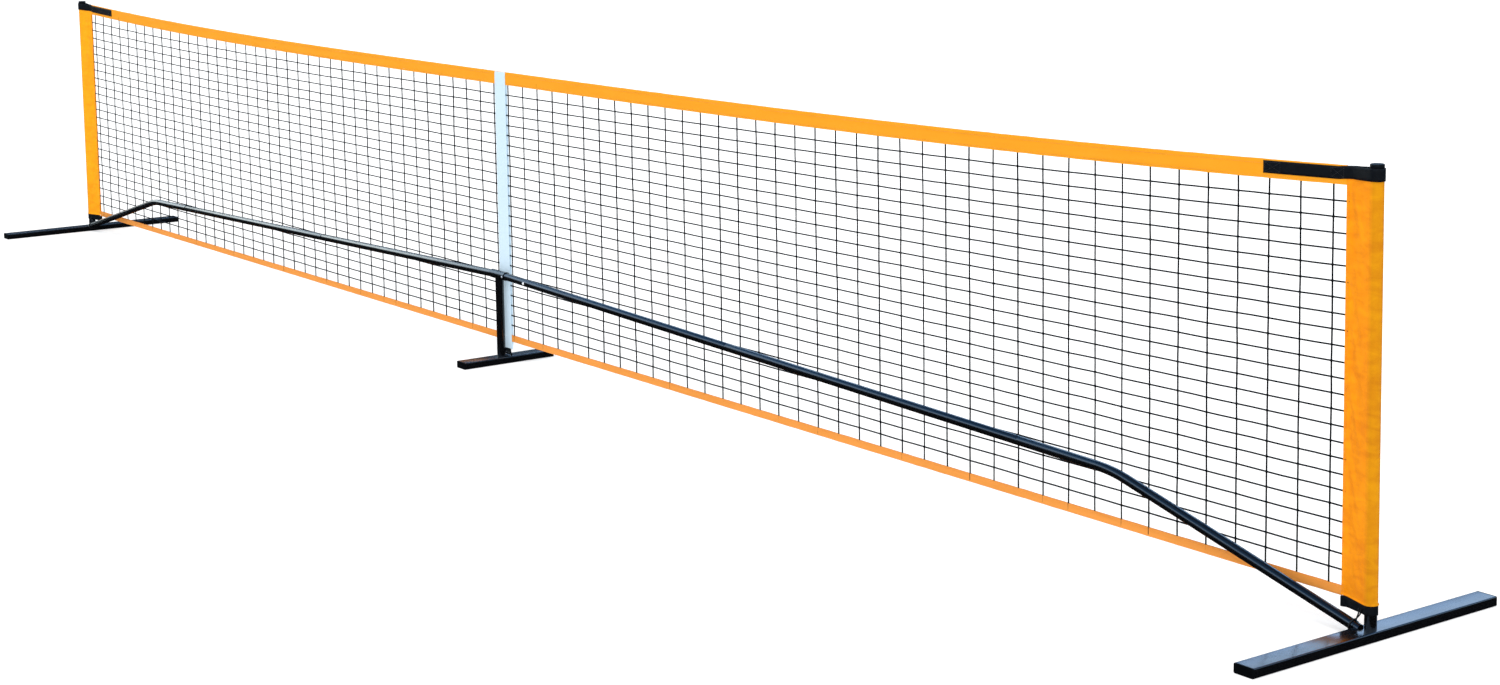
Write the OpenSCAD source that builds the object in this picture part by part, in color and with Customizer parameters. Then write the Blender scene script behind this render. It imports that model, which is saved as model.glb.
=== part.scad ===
// Portable court net: a tube frame on three flat feet carries a bound mesh net.
// X runs along the net, +Y to its back, +Z up. The origin is on the floor under mid span.

/* [Court] */
// Distance between the axes of the end posts
post_span = 6664; // [5600:2:7000]
// Height of the top tape's upper edge at the posts
net_top = 914; // [860:1:980]
// How far the top tape hangs below that at mid span
net_sag = 46; // [10:1:70]
// Height of the bottom tape's lower edge
net_bottom = 64; // [58:1:90]
// Distance of the net's plane behind the post axes
net_back = 8; // [6.5:0.5:10]

/* [Feet] */
// Length of an end foot over its plugs
end_foot_len = 700; // [560:1:800]
// Length of the centre foot over its plugs
mid_foot_len = 300; // [240:1:420]
// Width of the flat foot tube
foot_w = 50; // [46:1:56]
// Height of the flat foot tube
foot_h = 20; // [18:1:24]
// Wall of the flat foot tube
foot_wall = 1.5; // [1.2:0.1:2]
// Outer corner radius of the flat foot tube
foot_corner = 3; // [2.2:0.1:4]
// Thickness of an end plug's outer plate
plug_plate = 3; // [2:0.5:5]
// Depth of an end plug inside the foot
plug_depth = 16; // [10:1:24]
// Wall of an end plug's hollow insert
plug_wall = 2; // [1.5:0.1:2.6]

/* [Posts] */
// Outer diameter of the posts
post_od = 25; // [24:0.5:27]
// Wall of the post tubes
post_wall = 1.5; // [1.2:0.1:1.8]
// Length of the welded spigot that an end post slides over
post_spigot = 150; // [100:1:220]
// Length of the welded spigot that the centre post slides over
mid_spigot = 110; // [80:1:140]
// Height of a post cap's flange
cap_h = 8; // [5:0.5:12]
// How far a cap's flange overhangs the post all round
cap_lip = 1.5; // [1.2:0.1:2.6]
// Depth of a cap's plug inside the post
cap_plug = 18; // [12:1:24]

/* [Rails] */
// Outer diameter of the rails
rail_od = 22; // [21:0.5:24]
// Wall of the rail tubes and their spigots
rail_wall = 1.2; // [1:0.1:1.4]
// Distance of the rail plane in front of the post axes
rail_front = 14; // [13:0.5:18]
// Height of the rail axis at the centre post
tee_z = 265; // [250:1:300]
// Height of the rail axis at the corner bend
bend_z = 193; // [180:1:205]
// Distance of the corner bend inboard of the post axis
bend_inset = 705; // [600:1:760]
// Centreline radius of the corner bend
bend_r = 400; // [300:5:500]
// Half length of the tee's cross sleeve
tee_half = 42; // [38:1:50]
// Wall of the tee's cross sleeve
tee_wall = 3.1; // [2.6:0.1:3.5]
// Distance from the tee's centre to the start of its bores
tee_web = 14; // [10:1:20]
// Radius of the rivets through the tee's sleeve
rivet_r = 1.95; // [1.5:0.05:2.5]
// Length of the tee's spigots from the tee's centre
tee_arm = 190; // [180:1:230]
// Distance of the tee's snap clips from its centre
tee_clip = 158; // [130:1:160]
// How much bending draws the tube in all round
bend_draw = 0.15; // [0.1:0.05:0.3]
// Length of straight tube on the corner piece before its bend
corner_lead = 300; // [200:1:400]
// Length of the drawn-down spigot at the end of a rail
rail_spigot = 90; // [80:1:120]
// Length of the taper into that spigot
taper = 6; // [4:0.5:9]
// Height of the rail axis above the foot's top where it meets the foot's inner side
stub_rise = 0; // [0:0.5:3]
// Length of the foot's stub inside the corner piece
stub_in = 110; // [100:1:150]
// Gap along the net between the stub's end plate and the post
stub_gap = 1; // [0.5:0.5:6]
// Thickness of the stub's end plate
stub_plate = 2; // [1.5:0.5:3]

/* [Snap clips] */
// Radius of a snap button
button_r = 4; // [3:0.1:4.2]
// How far a snap button stands out of its tube
button_out = 2.7; // [2.2:0.1:3.2]
// How far a snap button travels when pressed
button_travel = 4; // [3.8:0.1:4.2]
// Running clearance round a snap button
button_gap = 0.07; // [0.03:0.01:0.1]
// Thickness of the clip's spring strip
strip_t = 0.6; // [0.4:0.1:0.8]
// Width of the clip's spring strip
strip_w = 6; // [5:0.5:7]
// Length of the strip from its button to its bend
strip_len = 24; // [18:1:26]
// Distance of a snap clip from the mouth of the tube that it locks
clip_in = 60; // [50:1:64]
// Height of the end post's snap button above the foot
post_clip = 13; // [11:0.5:15]
// Height of the centre post's snap button above the foot
mid_clip = 60; // [50:1:70]

/* [Net fabric] */
// Gaps in the mesh along the net
gap_cols = 30; // [24:1:30]
// Gaps in the mesh up the net
gap_rows = 10; // [6:1:10]
// Thickness of the mesh cord
mesh_cord = 3.6; // [2:0.2:4]
// Height of the top tape
top_tape_h = 38; // [34:1:50]
// Thickness of the top tape
top_tape_t = 4.4; // [3:0.2:5]
// Height of the bottom tape
low_tape_h = 20; // [16:1:26]
// Thickness of the bottom tape
low_tape_t = 3; // [2.4:0.2:4]
// Width of a side sleeve inboard of the post axis
sleeve_w = 80; // [74:1:100]
// Thickness of the sleeve's cloth
cloth_t = 1.7; // [1.2:0.1:2]
// Distance of the sleeve's lower edge above the floor
sleeve_low = 67; // [62:1:80]
// Distance of the sleeve's upper edge below the top of the net
sleeve_down = 8; // [5:0.5:10]
// Distance from the post axis to where the sleeve's two layers meet in the hem
pocket_lead = 64; // [54:1:68]

/* [Webbing] */
// Thickness of all webbing
web_t = 1.6; // [1.2:0.1:2]
// Height of the tension strap's webbing
tension_h = 25; // [20:1:28]
// Distance of the tension strap below the top of the net
tension_down = 3; // [2:0.5:5]
// Length of the tension strap on the tape, inboard of the sleeve
tension_len = 215; // [150:1:260]
// Height of the webbing at the foot of a sleeve
low_web_h = 20; // [16:1:24]
// Width of the centre strap
mid_strap_w = 60; // [50:1:70]
// Height of the centre strap's sewn end above the foot
mid_strap_end = 22; // [18:1:26]
// Width of the tab below the centre strap
tab_w = 38; // [30:1:40]
// Diameter of the staple's rod on the centre foot
staple_d = 4; // [3:0.5:5]
// Height of the staple's bar axis above the foot
staple_h = 7; // [6.5:0.5:9]
// Diameter of the tie cord
tie_d = 3; // [2:0.5:3.5]

/* [Fits] */
// Radial clearance of a tube sliding over its spigot
slide_gap = 0.1; // [0.05:0.01:0.2]
// Clearance between cloth or webbing and what it wraps
wrap_gap = 0.3; // [0.2:0.05:0.5]
// Clearance of a plug in its tube
plug_gap = 0.1; // [0.05:0.01:0.2]

/* [Hidden] */
$fn = 48;
eps = 0.5;

half = post_span / 2;
post_r = post_od / 2;
post_ir = post_r - post_wall;
post_sr = post_ir - slide_gap;
post_sir = post_sr - post_wall;
rail_r = rail_od / 2;
rail_ir = rail_r - rail_wall;
spig_r = rail_ir - slide_gap;
spig_ir = spig_r - rail_wall;
hole_r = button_r + button_gap;
tee_r = spig_r + tee_wall;

// Rail line: from the tee down to the bend, then more steeply to the foot's inner top edge
bend_x = half - bend_inset;
slope_in = atan((tee_z - bend_z) / bend_x);
bend_s = bend_x / cos(slope_in);
foot_x = half - foot_w / 2;
foot_z = foot_h + stub_rise;
slope_out = atan((bend_z - foot_z) / (foot_x - bend_x));
turn = slope_out - slope_in;
bend_cut = bend_r * tan(turn / 2);
bend_lap = 2;
out_len = (foot_x - bend_x) / cos(slope_out) - bend_cut;
stub_out = (half - post_r - stub_gap - foot_x) / cos(slope_out) - stub_plate;
corner_s = bend_s - corner_lead;
rail_len = (corner_s - tee_half - 2 * taper) / 2;
joint_s = tee_half + rail_len;
outer_s = joint_s + taper;

// Sleeve pocket and net plane
pocket_r = post_r + wrap_gap;
sleeve_r = pocket_r + cloth_t;
hem_t = cloth_t * 0.7;
hem_x = half - sleeve_w;
mesh_low = net_bottom + low_tape_h;
strap_r = sleeve_r + wrap_gap;
tape_side = top_tape_t / 2 + 0.1;
tension_low = net_top - tension_down - tension_h;

function top_z(x) = net_top - net_sag * (1 - pow(abs(x) / half, 3));
function row_z(x, j) = mesh_low + (top_z(x) - top_tape_h - mesh_low) * j / gap_rows;
function col_x(i) = -hem_x + 2 * hem_x * i / gap_cols;

// Where a line from (x, y) touches a circle of radius r at the origin, on side k
function touch(r, x, y, k) =
    let(a = atan2(y, x) + k * acos(r / norm([x, y]))) [r * cos(a), r * sin(a)];

module sided(side) {
    if (side > 0) children();
    else mirror([1, 0, 0]) children();
}

// A tube along +X from x0 to x1
module tube_x(r_out, r_in, x0, x1) {
    difference() {
        translate([x0, 0, 0]) rotate([0, 90, 0]) cylinder(r = r_out, h = x1 - x0);
        translate([x0 - eps, 0, 0]) rotate([0, 90, 0]) cylinder(r = r_in, h = x1 - x0 + 2 * eps);
    }
}

// A tube along +Z from z0 to z1
module tube_z(r_out, r_in, z0, z1) {
    difference() {
        translate([0, 0, z0]) cylinder(r = r_out, h = z1 - z0);
        translate([0, 0, z0 - eps]) cylinder(r = r_in, h = z1 - z0 + 2 * eps);
    }
}

// Places children along the rail, from the tee outwards, local +X down the slope
module on_rail(side) {
    sided(side) translate([0, -rail_front, tee_z]) rotate([0, slope_in, 0]) children();
}

// Places children where the rail axis meets the foot's inner side
module on_corner(side) {
    sided(side) translate([foot_x, -rail_front, foot_z]) rotate([0, slope_out, 0]) children();
}

// Rotates a clip drawn along +X with its button up, to point it at the front or back
module facing(dir) {
    rotate([-90 * dir, 0, 0]) children();
}

// Rotates a clip drawn along +X so that it runs up a post with its button at the back
module up_post() {
    rotate([0, 0, 90]) rotate([0, 90, 0]) children();
}

// Hole for a snap button through a tube's upper wall
module button_hole(s) {
    translate([s, 0, 0]) cylinder(r = hole_r, h = 30);
}

// Spring clip: a domed button on a hairpin strip that sits inside a spigot
module snap_clip(r_out, r_in) {
    top = r_in - 0.9;
    low = -(r_in - 1.1 - button_travel);
    mid = (top + low) / 2;
    loop_r = (top - low) / 2;
    tip = r_out + button_out;
    color("silver") {
        intersection() {
            translate([0, 0, top - strip_t]) cylinder(r = button_r, h = tip - top + strip_t);
            translate([0, 0, tip - 5]) union() {
                sphere(r = 5);
                translate([0, 0, -12]) cylinder(r = 5, h = 12);
            }
        }
        rotate([90, 0, 0]) translate([0, 0, -strip_w / 2]) linear_extrude(height = strip_w) {
            translate([-strip_len, top - strip_t]) square([strip_len + button_r, strip_t]);
            translate([-strip_len, low]) square([strip_len + button_r, strip_t]);
            difference() {
                translate([-strip_len, mid]) circle(r = loop_r);
                translate([-strip_len, mid]) circle(r = loop_r - strip_t);
                translate([-strip_len, low - 1]) square([2 * loop_r, 2 * loop_r + 2]);
            }
        }
    }
}

// Rounded rectangle centred on the origin
module rounded(w, h, r) {
    square([w, h - 2 * r], center = true);
    square([w - 2 * r, h], center = true);
    for (x = [-1, 1], y = [-1, 1])
        translate([x * (w / 2 - r), y * (h / 2 - r)]) circle(r = r);
}

// Flat foot tube along Y, open at both ends where its plugs go
module foot_tube(len) {
    run = len - 2 * plug_plate;
    translate([0, run / 2, foot_h / 2]) rotate([90, 0, 0]) linear_extrude(height = run)
        difference() {
            rounded(foot_w, foot_h, foot_corner);
            rounded(foot_w - 2 * foot_wall, foot_h - 2 * foot_wall, foot_corner - foot_wall);
        }
}

// One end plug: an outer plate with a hollow insert that presses into the foot
module foot_plug(len) {
    in_w = foot_w - 2 * foot_wall - 2 * plug_gap;
    in_h = foot_h - 2 * foot_wall - 2 * plug_gap;
    in_r = max(foot_corner - foot_wall, 0.4);
    translate([0, len / 2, foot_h / 2]) rotate([90, 0, 0]) {
        linear_extrude(height = plug_plate) rounded(foot_w, foot_h, foot_corner);
        linear_extrude(height = plug_plate + plug_depth) difference() {
            rounded(in_w, in_h, in_r);
            square([in_w - 2 * plug_wall, in_h - 2 * plug_wall], center = true);
        }
    }
    for (x = [-1, 1])
        translate([x * in_w / 6 - plug_wall / 2, len / 2 - plug_plate - plug_depth, foot_h / 2 - in_h / 2])
            cube([plug_wall, plug_depth, in_h]);
}

module foot_plugs(len) {
    color("dimgray") for (k = [0, 180])
        rotate([0, 0, k]) foot_plug(len);
}

// End foot with its welded post spigot, and the rail stub welded over its inner edge
module end_foot(side) {
    color("black") difference() {
        union() {
            sided(side) translate([half, 0, 0]) {
                foot_tube(end_foot_len);
                tube_z(post_sr, post_sir, foot_h - foot_wall / 2, foot_h + post_spigot);
            }
            on_corner(side) {
                tube_x(spig_r, spig_ir, -stub_in, stub_out);
                translate([stub_out - 0.1, 0, 0]) rotate([0, 90, 0]) cylinder(r = spig_r, h = stub_plate);
            }
        }
        sided(side) translate([half, 0, foot_h + post_clip]) up_post() button_hole(0);
        on_corner(side) facing(1) button_hole(-clip_in);
        sided(side) translate([half, 0, foot_h / 2]) cube([foot_w - 2 * foot_wall - 2,
            end_foot_len, foot_h - 2 * foot_wall], center = true);
    }
}

// End post, open at the foot and at the cap
module end_post(side) {
    color("black") sided(side) translate([half, 0, 0]) difference() {
        tube_z(post_r, post_ir, foot_h, net_top);
        translate([0, 0, foot_h + post_clip]) up_post() button_hole(0);
    }
}

// Cap: a domed flange on a hollow plug
module post_cap(side) {
    flange = post_r + cap_lip;
    color("dimgray") sided(side) translate([half, 0, net_top]) rotate_extrude() polygon([
        [0, 0], [post_ir - plug_gap - 2, 0],
        [post_ir - plug_gap - 2, -cap_plug], [post_ir - plug_gap, -cap_plug],
        [post_ir - plug_gap, 0], [flange, 0],
        [flange, cap_h - 2], [flange - 0.6, cap_h - 0.6], [flange - 2, cap_h], [0, cap_h]]);
}

// Centre foot with its post spigot and the staple for the centre strap
module center_foot() {
    leg = tab_w / 2 + wrap_gap + staple_d / 2;
    color("black") {
        difference() {
            union() {
                foot_tube(mid_foot_len);
                translate([0, -rail_front, 0])
                    tube_z(post_sr, post_sir, foot_h - foot_wall / 2, foot_h + mid_spigot);
            }
            translate([0, -rail_front, foot_h + mid_clip]) up_post() button_hole(0);
        }
        for (x = [-leg, leg]) {
            translate([x, net_back, foot_h - foot_wall / 2])
                cylinder(d = staple_d, h = staple_h + foot_wall / 2);
            translate([x, net_back, foot_h + staple_h]) sphere(d = staple_d);
        }
        translate([-leg, net_back, foot_h + staple_h]) rotate([0, 90, 0]) cylinder(d = staple_d, h = 2 * leg);
    }
}

// Centre post with its level cross sleeve and the two sloping spigots for the rails
module center_tee() {
    reach = tee_half * cos(slope_in) - tee_r * sin(slope_in);
    axis_z = tee_z - tee_half * sin(slope_in) / 2;
    color("black") difference() {
        union() {
            translate([0, -rail_front, foot_h]) cylinder(r = post_r, h = axis_z - foot_h);
            translate([-reach, -rail_front, axis_z]) rotate([0, 90, 0]) cylinder(r = tee_r, h = 2 * reach);
            for (side = [-1, 1]) on_rail(side)
                translate([tee_web, 0, 0]) rotate([0, 90, 0]) cylinder(r = spig_r, h = tee_arm - tee_web);
        }
        translate([0, -rail_front, foot_h - eps])
            cylinder(r = post_ir, h = axis_z - tee_r - foot_h - 2 + eps);
        for (side = [-1, 1]) on_rail(side) {
            translate([tee_web, 0, 0]) rotate([0, 90, 0]) cylinder(r = spig_ir, h = tee_arm);
            facing(-side) button_hole(tee_clip);
            facing(-side) translate([tee_half - 6, 0, 0]) cylinder(r = rivet_r + 0.05, h = 30);
        }
        translate([0, -rail_front, foot_h + mid_clip]) up_post() button_hole(0);
    }
}

// Two domed rivets that pin the spigots in the cross sleeve
module tee_rivets() {
    color("silver") for (side = [-1, 1])
        on_rail(side) facing(-side) translate([tee_half - 6, 0, 0]) {
            translate([0, 0, spig_ir + 0.2]) cylinder(r = rivet_r, h = tee_r - spig_ir);
            intersection() {
                translate([0, 0, tee_r]) cylinder(r = 3.6, h = 2);
                translate([0, 0, tee_r - 2.6]) sphere(r = 4.6);
            }
        }
}

// A rail: plain tube from s0 to s1, then a taper to its drawn-down spigot
module swaged_rail(side, s0, s1) {
    end = s1 + taper + rail_spigot;
    color("black") on_rail(side) difference() {
        rotate([0, 90, 0]) rotate_extrude() polygon([
            [rail_ir, s0], [rail_r, s0], [rail_r, s1], [spig_r, s1 + taper],
            [spig_r, end], [spig_ir, end], [spig_ir, s1 + taper], [rail_ir, s1]]);
        facing(1) button_hole(s1 + taper + clip_in);
        if (s0 == tee_half) facing(-side) button_hole(tee_clip);
        else facing(1) button_hole(s0 + clip_in);
    }
}

// Corner piece: straight, bent through the turn, then straight down to the foot.
// Bending draws the tube in a little, so the bend's ends sit inside the straight runs.
module corner_tube(side) {
    bend_at = bend_s - bend_cut;
    color("black") difference() {
        on_rail(side) {
            tube_x(rail_r, rail_ir, corner_s, bend_at + bend_lap);
            translate([bend_at, 0, -bend_r]) {
                rotate([0, -90, -90]) rotate_extrude(angle = turn) translate([bend_r, 0]) difference() {
                    circle(r = rail_r - bend_draw);
                    circle(r = rail_ir - bend_draw);
                }
                translate([bend_r * sin(turn), 0, bend_r * cos(turn)]) rotate([0, turn, 0])
                    tube_x(rail_r, rail_ir, -bend_lap, out_len - 0.5);
            }
        }
        on_rail(side) facing(1) button_hole(corner_s + clip_in);
        on_corner(side) facing(1) button_hole(-clip_in);
    }
}

module snap_on_rail(side, s, dir) {
    on_rail(side) translate([s, 0, 0]) facing(dir) snap_clip(rail_r, spig_ir);
}

module snap_foot(side) {
    on_corner(side) translate([-clip_in, 0, 0]) facing(1) snap_clip(rail_r, spig_ir);
}

module snap_post(side) {
    sided(side) translate([half, 0, foot_h + post_clip]) up_post() snap_clip(post_r, post_sir);
}

module snap_center_post() {
    translate([0, -rail_front, foot_h + mid_clip]) up_post() snap_clip(post_r, post_sir);
}

// Lays a shape drawn in X and Z into the net's plane, t thick
module in_net(t) {
    translate([0, net_back + t / 2, 0]) rotate([90, 0, 0]) linear_extrude(height = t) children();
}

// Mesh: one plate with a gap in every cell, its rows drawn up to the sagging tape
module net_mesh() {
    c = mesh_cord / 2;
    color("black") in_net(mesh_cord) difference() {
        polygon(concat([[-hem_x, mesh_low], [hem_x, mesh_low]],
            [for (i = [gap_cols:-1:0]) [col_x(i), row_z(col_x(i), gap_rows)]]));
        for (i = [0:gap_cols - 1], j = [0:gap_rows - 1]) polygon([
            [col_x(i) + c, row_z(col_x(i), j) + c],
            [col_x(i + 1) - c, row_z(col_x(i + 1), j) + c],
            [col_x(i + 1) - c, row_z(col_x(i + 1), j + 1) - c],
            [col_x(i) + c, row_z(col_x(i), j + 1) - c]]);
    }
}

// A band under the top tape's upper edge, from x0 to x1, between two depths below it
module tape_band(x0, x1, d0, d1, steps) {
    polygon(concat(
        [for (i = [0:steps]) let(x = x0 + (x1 - x0) * i / steps) [x, top_z(x) - d1]],
        [for (i = [steps:-1:0]) let(x = x0 + (x1 - x0) * i / steps) [x, top_z(x) - d0]]));
}

module top_tape() {
    color("orange") in_net(top_tape_t) tape_band(-hem_x, hem_x, 0, top_tape_h, gap_cols);
}

module bottom_tape() {
    color("orange") in_net(low_tape_t)
        translate([-hem_x, net_bottom]) square([2 * hem_x, low_tape_h]);
}

// Outline round a post and along the hem: radius r at the post, half thickness t at the hem
module pocket(r, t, reach) {
    front = touch(r, -pocket_lead, net_back - t, 1);
    back = touch(r, -pocket_lead, net_back + t, -1);
    circle(r = r);
    polygon([[0, 0], back, [-pocket_lead, net_back + t], [-pocket_lead, net_back - t], front]);
    translate([-reach, net_back - t]) square([reach - pocket_lead + 0.01, 2 * t]);
}

// Sleeve: a cloth pocket round the post whose two layers run straight to a flat hem
module side_sleeve(side) {
    meet = 3 - pocket_lead;
    color("orange") sided(side) translate([half, 0, sleeve_low])
        linear_extrude(height = net_top - sleeve_down - sleeve_low) difference() {
            pocket(sleeve_r, hem_t, sleeve_w);
            circle(r = pocket_r);
            polygon([[0, 0], touch(pocket_r, meet, net_back, -1), [meet, net_back],
                touch(pocket_r, meet, net_back, 1)]);
        }
}

// Tension strap: a loop round the top of the sleeve, sewn along both faces of the tape
module tension_strap(side) {
    lap = tape_side + web_t;
    color([0.06, 0.06, 0.07]) sided(side) {
        translate([half, 0, tension_low]) linear_extrude(height = tension_h) difference() {
            pocket(strap_r + web_t, lap, sleeve_w - 2);
            pocket(strap_r, tape_side, sleeve_w);
        }
        for (k = [-1, 1])
            translate([0, k * (tape_side + web_t / 2), 0]) in_net(web_t)
                tape_band(hem_x - tension_len, hem_x + 10, tension_down, tension_down + tension_h, 6);
    }
}

// Lower strap: a flat loop of webbing round the post under the sleeve
module lower_strap(side) {
    t = hem_t + web_t;
    color([0.06, 0.06, 0.07]) sided(side) translate([half, 0, sleeve_low - low_web_h])
        linear_extrude(height = low_web_h) difference() {
            pocket(pocket_r + web_t, t, sleeve_w);
            pocket(pocket_r, t - web_t, sleeve_w - web_t);
        }
}

// Centre strap: one band over the top tape, down both faces and sewn together over its tab
module center_strap() {
    z1 = top_z(0) + 0.3;
    side = tape_side;
    lap = side + web_t;
    z0 = foot_h + mid_strap_end;
    zs = net_bottom - 4;
    zn = z0 + (zs - z0) * 0.5;
    in = web_t / 2 + 0.1;
    color("aliceblue") translate([-mid_strap_w / 2, net_back, 0]) rotate([90, 0, 90])
        linear_extrude(height = mid_strap_w) polygon([
            [-in - web_t, z0], [-in - web_t, zn], [-lap, zs], [-lap, z1 + 0.4],
            [-lap + 1.2, z1 + web_t], [lap - 1.2, z1 + web_t], [lap, z1 + 0.4],
            [lap, zs], [in + web_t, zn], [in + web_t, z0],
            [in, z0], [in, zn], [side, zs], [side, z1],
            [-side, z1], [-side, zs], [-in, zn], [-in, z0]]);
}

// Tab: webbing that loops round the staple's bar and is sewn into the strap's end
module strap_tab() {
    ring = staple_d / 2 + wrap_gap;
    end = mid_strap_end + 8 - staple_h;
    color([0.06, 0.06, 0.07]) translate([-tab_w / 2, net_back, foot_h + staple_h]) rotate([90, 0, 90])
        linear_extrude(height = tab_w) difference() {
            union() {
                circle(r = ring + web_t);
                translate([-web_t / 2, 0]) square([web_t, end]);
            }
            circle(r = ring);
        }
}

// Tie cord: up from the corner piece to the webbing at the post and round both
tie_s = -8;
tie_ring = rail_r + tie_d / 2 + 0.2;
tie_n = 16;
tie_low = sleeve_low - low_web_h;
tie_down = [foot_x + tie_s * cos(slope_out), -rail_front, foot_z - tie_s * sin(slope_out)];
function tie_round(a, s) = tie_down + tie_ring * [sin(a) * sin(slope_out), -cos(a), sin(a) * cos(slope_out)]
    + s * [cos(slope_out), 0, -sin(slope_out)];
// A point in front of the lower strap, u of the way from the post to the hem
function tie_seat(u, z) =
    let(t = hem_t + web_t, b = [-pocket_lead, net_back - t],
        a = touch(pocket_r + web_t, b[0], b[1], 1), d = (a - b) / norm(a - b),
        p = a + u * (b - a) + (tie_d / 2 + wrap_gap / 3) * [d[1], -d[0]]) [half + p[0], p[1], z];
tie_path = concat([tie_seat(0.18, tie_low + 8), tie_seat(0.18, tie_low - 1)],
    [for (i = [0:tie_n]) tie_round(110 - i * 330 / tie_n, 3.6 * (0.5 - i / tie_n))],
    [tie_seat(0.285, tie_low - 1), tie_seat(0.285, tie_low + 8)]);
tie_len = len(tie_path);
function add(v, i = 0) = i < len(v) ? v[i] + add(v, i + 1) : 0;
echo(tie_cord_length = add([for (i = [1:tie_len - 1]) norm(tie_path[i] - tie_path[i - 1])]),
    tie_cord_least_gap = min([for (i = [0:tie_len - 1], j = [0:tie_len - 1])
        if (j > i + 4) norm(tie_path[i] - tie_path[j])]) - tie_d);

function unit(v) = v / norm(v);
function along(p, i) = unit(p[min(i + 1, len(p) - 1)] - p[max(i - 1, 0)]);
function cord_ring(c, t, r, n) =
    let(u = unit(cross(t, abs(t[1]) > 0.9 ? [1, 0, 0] : [0, 1, 0])), v = cross(t, u))
    [for (k = [0:n - 1]) c + r * (cos(360 * k / n) * u + sin(360 * k / n) * v)];

// Sweeps a round cord along a path of points
module cord(path, r, n) {
    m = len(path);
    polyhedron(
        points = [for (i = [0:m - 1]) each cord_ring(path[i], along(path, i), r, n)],
        faces = concat([[for (k = [0:n - 1]) k]],
            [for (i = [0:m - 2], k = [0:n - 1]) [i * n + k, (i + 1) * n + k, i * n + (k + 1) % n]],
            [for (i = [0:m - 2], k = [0:n - 1])
                [i * n + (k + 1) % n, (i + 1) * n + k, (i + 1) * n + (k + 1) % n]],
            [[for (k = [n - 1:-1:0]) (m - 1) * n + k]]));
}

module tie_cord(side) {
    color([0.06, 0.06, 0.07]) sided(side) cord(tie_path, tie_d / 2, 8);
}

end_foot(-1);  // end_foot_left
end_foot(1);  // end_foot_right
translate([-half, 0, 0]) foot_plugs(end_foot_len);  // foot_plugs_left
translate([half, 0, 0]) foot_plugs(end_foot_len);  // foot_plugs_right
center_foot();
foot_plugs(mid_foot_len);  // foot_plugs_center
end_post(-1);  // post_left
end_post(1);  // post_right
post_cap(-1);  // post_cap_left
post_cap(1);  // post_cap_right
center_tee();
tee_rivets();
swaged_rail(-1, tee_half, joint_s);  // rail_inner_left
swaged_rail(1, tee_half, joint_s);  // rail_inner_right
swaged_rail(-1, outer_s, corner_s - taper);  // rail_outer_left
swaged_rail(1, outer_s, corner_s - taper);  // rail_outer_right
corner_tube(-1);  // corner_tube_left
corner_tube(1);  // corner_tube_right
snap_on_rail(-1, tee_clip, 1);  // snap_tee_left
snap_on_rail(1, tee_clip, -1);  // snap_tee_right
snap_on_rail(-1, outer_s + clip_in, 1);  // snap_rail_left
snap_on_rail(1, outer_s + clip_in, 1);  // snap_rail_right
snap_on_rail(-1, corner_s + clip_in, 1);  // snap_corner_left
snap_on_rail(1, corner_s + clip_in, 1);  // snap_corner_right
snap_foot(-1);  // snap_foot_left
snap_foot(1);  // snap_foot_right
snap_post(-1);  // snap_post_left
snap_post(1);  // snap_post_right
snap_center_post();
net_mesh();
top_tape();
bottom_tape();
side_sleeve(-1);  // side_sleeve_left
side_sleeve(1);  // side_sleeve_right
tension_strap(-1);  // tension_strap_left
tension_strap(1);  // tension_strap_right
lower_strap(-1);  // lower_strap_left
lower_strap(1);  // lower_strap_right
center_strap();
strap_tab();
tie_cord(-1);  // tie_cord_left
tie_cord(1);  // tie_cord_right
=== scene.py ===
from math import acos, atan2, cos, hypot, pi, radians, sin

import bmesh
import bpy
import numpy as np
from mathutils import Matrix, Vector, noise


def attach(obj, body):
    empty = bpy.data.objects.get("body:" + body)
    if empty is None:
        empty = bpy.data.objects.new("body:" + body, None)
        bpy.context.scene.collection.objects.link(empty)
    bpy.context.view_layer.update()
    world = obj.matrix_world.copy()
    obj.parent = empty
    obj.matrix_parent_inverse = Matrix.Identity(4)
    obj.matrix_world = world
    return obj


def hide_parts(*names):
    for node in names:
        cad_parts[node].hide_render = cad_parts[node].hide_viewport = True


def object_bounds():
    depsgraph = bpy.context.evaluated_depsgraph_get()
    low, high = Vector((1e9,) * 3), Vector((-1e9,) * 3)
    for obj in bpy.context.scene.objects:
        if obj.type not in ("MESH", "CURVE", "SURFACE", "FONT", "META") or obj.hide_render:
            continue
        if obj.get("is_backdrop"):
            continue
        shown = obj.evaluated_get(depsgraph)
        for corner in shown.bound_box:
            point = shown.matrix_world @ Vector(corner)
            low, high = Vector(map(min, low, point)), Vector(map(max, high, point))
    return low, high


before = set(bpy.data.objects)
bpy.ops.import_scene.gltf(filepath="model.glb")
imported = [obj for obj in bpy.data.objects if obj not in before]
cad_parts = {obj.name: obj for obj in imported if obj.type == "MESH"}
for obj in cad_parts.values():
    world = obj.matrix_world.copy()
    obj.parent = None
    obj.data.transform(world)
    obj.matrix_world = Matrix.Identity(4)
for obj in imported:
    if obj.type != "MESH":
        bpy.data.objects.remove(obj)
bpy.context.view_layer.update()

# ---------------------------------------------------------------------------------------
# The studio. A low camera looks down the length of the net from beyond its right end.
# The floor and the light are pale and even, so that only soft contact shade is left. Gloss
# mirrors a banded dome instead, which gives the black tubes their blue and grey lights.
# ---------------------------------------------------------------------------------------
scene = bpy.context.scene
scene.view_settings.view_transform = "Standard"


def put(obj):
    """Links a new object to the scene and returns it."""
    scene.collection.objects.link(obj)
    return obj


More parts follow.
